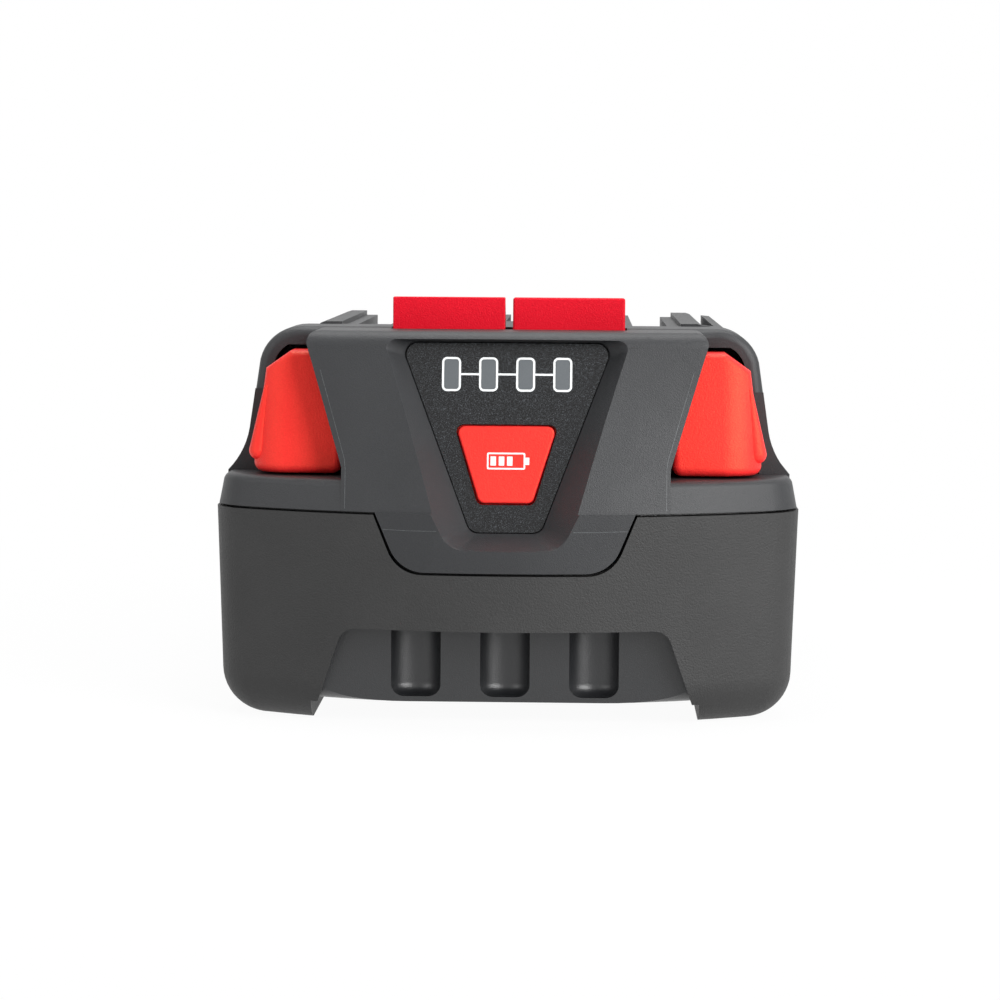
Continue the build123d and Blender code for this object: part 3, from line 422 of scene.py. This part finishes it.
def printed(name, outlines, out, body):
    """Thin white prints: each is (middle x, middle up, outer points, inner points or None)."""
    work = bmesh.new()
    for x, up, outer, inner in outlines:
        rings = []
        for level in (out + PRINT_LIFT, out + PRINT_LIFT + PRINT_DEPTH):
            rings.append([work.verts.new(on_panel(x + px, up + py, level)) for px, py in outer])
            if inner:
                rings.append([work.verts.new(on_panel(x + px, up + py, level)) for px, py in inner])
        count = len(outer)
        for i in range(count):
            j = (i + 1) % count
            if inner:
                low_out, low_in, high_out, high_in = rings
                work.faces.new((high_out[i], high_out[j], high_in[j], high_in[i]))
                work.faces.new((low_out[j], low_out[i], low_in[i], low_in[j]))
                work.faces.new((low_out[i], low_out[j], high_out[j], high_out[i]))
                work.faces.new((low_in[j], low_in[i], high_in[i], high_in[j]))
            else:
                low_out, high_out = rings
                work.faces.new((low_out[i], low_out[j], high_out[j], high_out[i]))
        if not inner:
            work.faces.new(rings[1])
            work.faces.new(list(reversed(rings[0])))
    add_piece(name, work, white_ink, body)


def gauge_marks():
    """White frames round the four windows and the line that links them."""
    outlines = []
    for place in range(WINDOW_COUNT):
        x = (place - (WINDOW_COUNT - 1) / 2) * WINDOW_PITCH
        inner = rounded(*WINDOW_SIZE, WINDOW_CORNER)
        outer = rounded(*[length + 2 * STROKE for length in WINDOW_SIZE], WINDOW_CORNER + STROKE)
        outlines.append((x, WINDOW_UP, outer, inner))
        if place:
            link_length = WINDOW_PITCH - WINDOW_SIZE[0] - 2 * STROKE
            link = rounded(link_length, LINK_WIDTH, LINK_CORNER)
            outlines.append((x - WINDOW_PITCH / 2, WINDOW_UP, link, None))
    printed("gauge_print", outlines, 0, "pack")


def button_marks():
    """A plain battery sign on the gauge button: frame, three bars and a nub."""
    frame_outer = rounded(*ICON_SIZE, ICON_STROKE)
    frame_inner = rounded(*[length - 2 * ICON_STROKE for length in ICON_SIZE], ICON_INNER_CORNER)
    outlines = [(0, ICON_UP, frame_outer, frame_inner)]
    for bar in range(ICON_BARS):
        x = -ICON_SIZE[0] / 2 + ICON_MARGIN + ICON_BAR_SIZE[0] / 2 + bar * ICON_BAR_PITCH
        outlines.append((x, ICON_UP, rounded(*ICON_BAR_SIZE, ICON_BAR_CORNER), None))
    nub_x = ICON_SIZE[0] / 2 + ICON_NUB[0] / 2
    outlines.append((nub_x, ICON_UP, rounded(*ICON_NUB, ICON_BAR_CORNER), None))
    printed("button_print", outlines, BUTTON_PROUD, "gauge_button")


gauge_marks()
button_marks()


# Fine raised mould lines that follow the cover's front, toned lighter than the cover as a painted
# highlight along them
cover_mesh = nodes["top_cover"].data
cover_surface = BVHTree.FromPolygons(
    [v.co for v in cover_mesh.vertices], [tuple(p.vertices) for p in cover_mesh.polygons]
)
backward = Vector((0, 1, 0))


def front_place(point):
    """Where the cover's front is, straight behind a point, or None where it has none."""
    return cover_surface.ray_cast(Vector((point.x, RAY_START, point.z)), backward)[0]


def seam(name, path, side):
    """A thin raised line through points across and up, laid on the cover's front surface."""
    marks = []
    for (x0, z0), (x1, z1) in zip(path, path[1:]):
        start = Vector((side * x0, 0, z0)) * MM
        end = Vector((side * x1, 0, z1)) * MM
        steps = max(1, round((end - start).length / SEAM_STEP))
        across = (end - start).normalized().cross(backward) * SEAM_WIDTH / 2
        for step in range(steps):
            marks.append((start.lerp(end, step / steps), across))
    marks.append((end, across))
    work = bmesh.new()
    rings = []
    for place, across in marks:
        hits = [front_place(place - across), front_place(place + across)]
        if None in hits or abs(hits[0].y - hits[1].y) > SEAM_WIDTH:
            continue
        proud = Vector((0, SEAM_PROUD, 0))
        ring = (hits[0] + proud, hits[0] - proud, hits[1] - proud, hits[1] + proud)
        rings.append([work.verts.new(point) for point in ring])
    for low, high in zip(rings, rings[1:]):
        for i, corner in enumerate(low):
            j = (i + 1) % len(low)
            work.faces.new((corner, low[j], high[j], high[i]))
    work.faces.new(rings[0])
    work.faces.new(list(reversed(rings[-1])))
    add_piece(name, work, seam_painted_highlight, "pack")


for seam_name, seam_path in SEAM_PATHS.items():
    seam(f"seam_{seam_name}_left", seam_path, -1)
    seam(f"seam_{seam_name}_right", seam_path, 1)


# Camera, floor and light
def look(place, target):
    """Rotation that points a lamp's -Z from place to target."""
    return (Vector(target) - Vector(place)).to_track_quat("-Z", "Y").to_euler()


def add_camera():
    """The photograph's camera, from its place, turn and focal length."""
    level = cos(CAMERA_PITCH)
    ahead = Vector((-sin(CAMERA_YAW) * level, cos(CAMERA_YAW) * level, -sin(CAMERA_PITCH)))
    right = ahead.cross(Vector((0, 0, 1))).normalized()
    up = right.cross(ahead)
    turn = Matrix((right, up, -ahead)).transposed() @ Matrix.Rotation(CAMERA_ROLL, 3, "Z")
    data = bpy.data.cameras.new("camera")
    data.sensor_width = SENSOR
    data.lens = FOCAL
    data.clip_start = 0.01
    camera = bpy.data.objects.new("camera", data)
    camera.matrix_world = Matrix.Translation(CAMERA_PLACE) @ turn.to_4x4()
    scene.collection.objects.link(camera)
    scene.camera = camera


def add_lamp(name, place, target, size, power):
    """A rectangular area lamp at place that faces target."""
    data = bpy.data.lights.new(name, "AREA")
    data.shape = "RECTANGLE"
    data.size, data.size_y = size
    data.energy = power
    lamp = bpy.data.objects.new(name, data)
    lamp.location = place
    lamp.rotation_euler = look(place, target)
    scene.collection.objects.link(lamp)


def seen_mask(tree):
    """1 for camera, glossy and transmission rays, so that these see the white surroundings."""
    path = tree.nodes.new("ShaderNodeLightPath")
    first = tree.nodes.new("ShaderNodeMath")
    first.operation = "MAXIMUM"
    tree.links.new(path.outputs["Is Camera Ray"], first.inputs[0])
    tree.links.new(path.outputs["Is Glossy Ray"], first.inputs[1])
    second = tree.nodes.new("ShaderNodeMath")
    second.operation = "MAXIMUM"
    tree.links.new(first.outputs[0], second.inputs[0])
    tree.links.new(path.outputs["Is Transmission Ray"], second.inputs[1])
    return second


def add_world():
    """White surroundings that light the object weakly."""
    world = bpy.data.worlds.new("studio")
    scene.world = world
    world.use_nodes = True
    tree = world.node_tree
    tree.nodes.clear()
    output = tree.nodes.new("ShaderNodeOutputWorld")
    ambient = tree.nodes.new("ShaderNodeBackground")
    ambient.inputs["Color"].default_value = AMBIENT_TONE
    ambient.inputs["Strength"].default_value = AMBIENT_STRENGTH
    white = tree.nodes.new("ShaderNodeBackground")
    white.inputs["Color"].default_value = WHITE_TONE
    white.inputs["Strength"].default_value = WHITE_STRENGTH
    mix = tree.nodes.new("ShaderNodeMixShader")
    mask = seen_mask(tree)
    tree.links.new(mask.outputs[0], mix.inputs["Fac"])
    tree.links.new(ambient.outputs[0], mix.inputs[1])
    tree.links.new(white.outputs[0], mix.inputs[2])
    tree.links.new(mix.outputs[0], output.inputs["Surface"])


def add_floor():
    """A white sheet under the pack that keeps its soft contact shadow."""
    work = bmesh.new()
    corners = [(-1, -1), (1, -1), (1, 1), (-1, 1)]
    work.faces.new([work.verts.new((x * FLOOR_HALF, y * FLOOR_HALF, 0)) for x, y in corners])
    mesh = bpy.data.meshes.new("floor")
    work.to_mesh(mesh)
    work.free()
    floor = bpy.data.objects.new("floor", mesh)
    scene.collection.objects.link(floor)
    material, tree, shader = new_material("floor_white")
    shader.inputs["Base Color"].default_value = FLOOR_TONE
    shader.inputs["Roughness"].default_value = FLOOR_ROUGHNESS
    output = next(node for node in tree.nodes if node.type == "OUTPUT_MATERIAL")
    glow = tree.nodes.new("ShaderNodeEmission")
    glow.inputs["Strength"].default_value = WHITE_STRENGTH
    place = tree.nodes.new("ShaderNodeTexCoord")
    reach = tree.nodes.new("ShaderNodeVectorMath")
    reach.operation = "LENGTH"
    tree.links.new(place.outputs["Object"], reach.inputs[0])
    fade = tree.nodes.new("ShaderNodeMapRange")
    fade.inputs["From Min"].default_value = FLOOR_NEAR
    fade.inputs["From Max"].default_value = FLOOR_FAR
    fade.inputs["To Min"].default_value = FLOOR_GLOW
    fade.inputs["To Max"].default_value = 1.0
    tree.links.new(reach.outputs["Value"], fade.inputs["Value"])
    share = tree.nodes.new("ShaderNodeMath")
    share.operation = "MULTIPLY"
    tree.links.new(fade.outputs["Result"], share.inputs[0])
    tree.links.new(seen_mask(tree).outputs[0], share.inputs[1])
    mix = tree.nodes.new("ShaderNodeMixShader")
    tree.links.new(share.outputs[0], mix.inputs["Fac"])
    tree.links.new(shader.outputs["BSDF"], mix.inputs[1])
    tree.links.new(glow.outputs["Emission"], mix.inputs[2])
    tree.links.new(mix.outputs[0], output.inputs["Surface"])
    mesh.materials.append(material)


add_camera()
add_world()
add_floor()
for lamp in LAMPS:
    add_lamp(*lamp)
scene.view_settings.view_transform = "Standard"

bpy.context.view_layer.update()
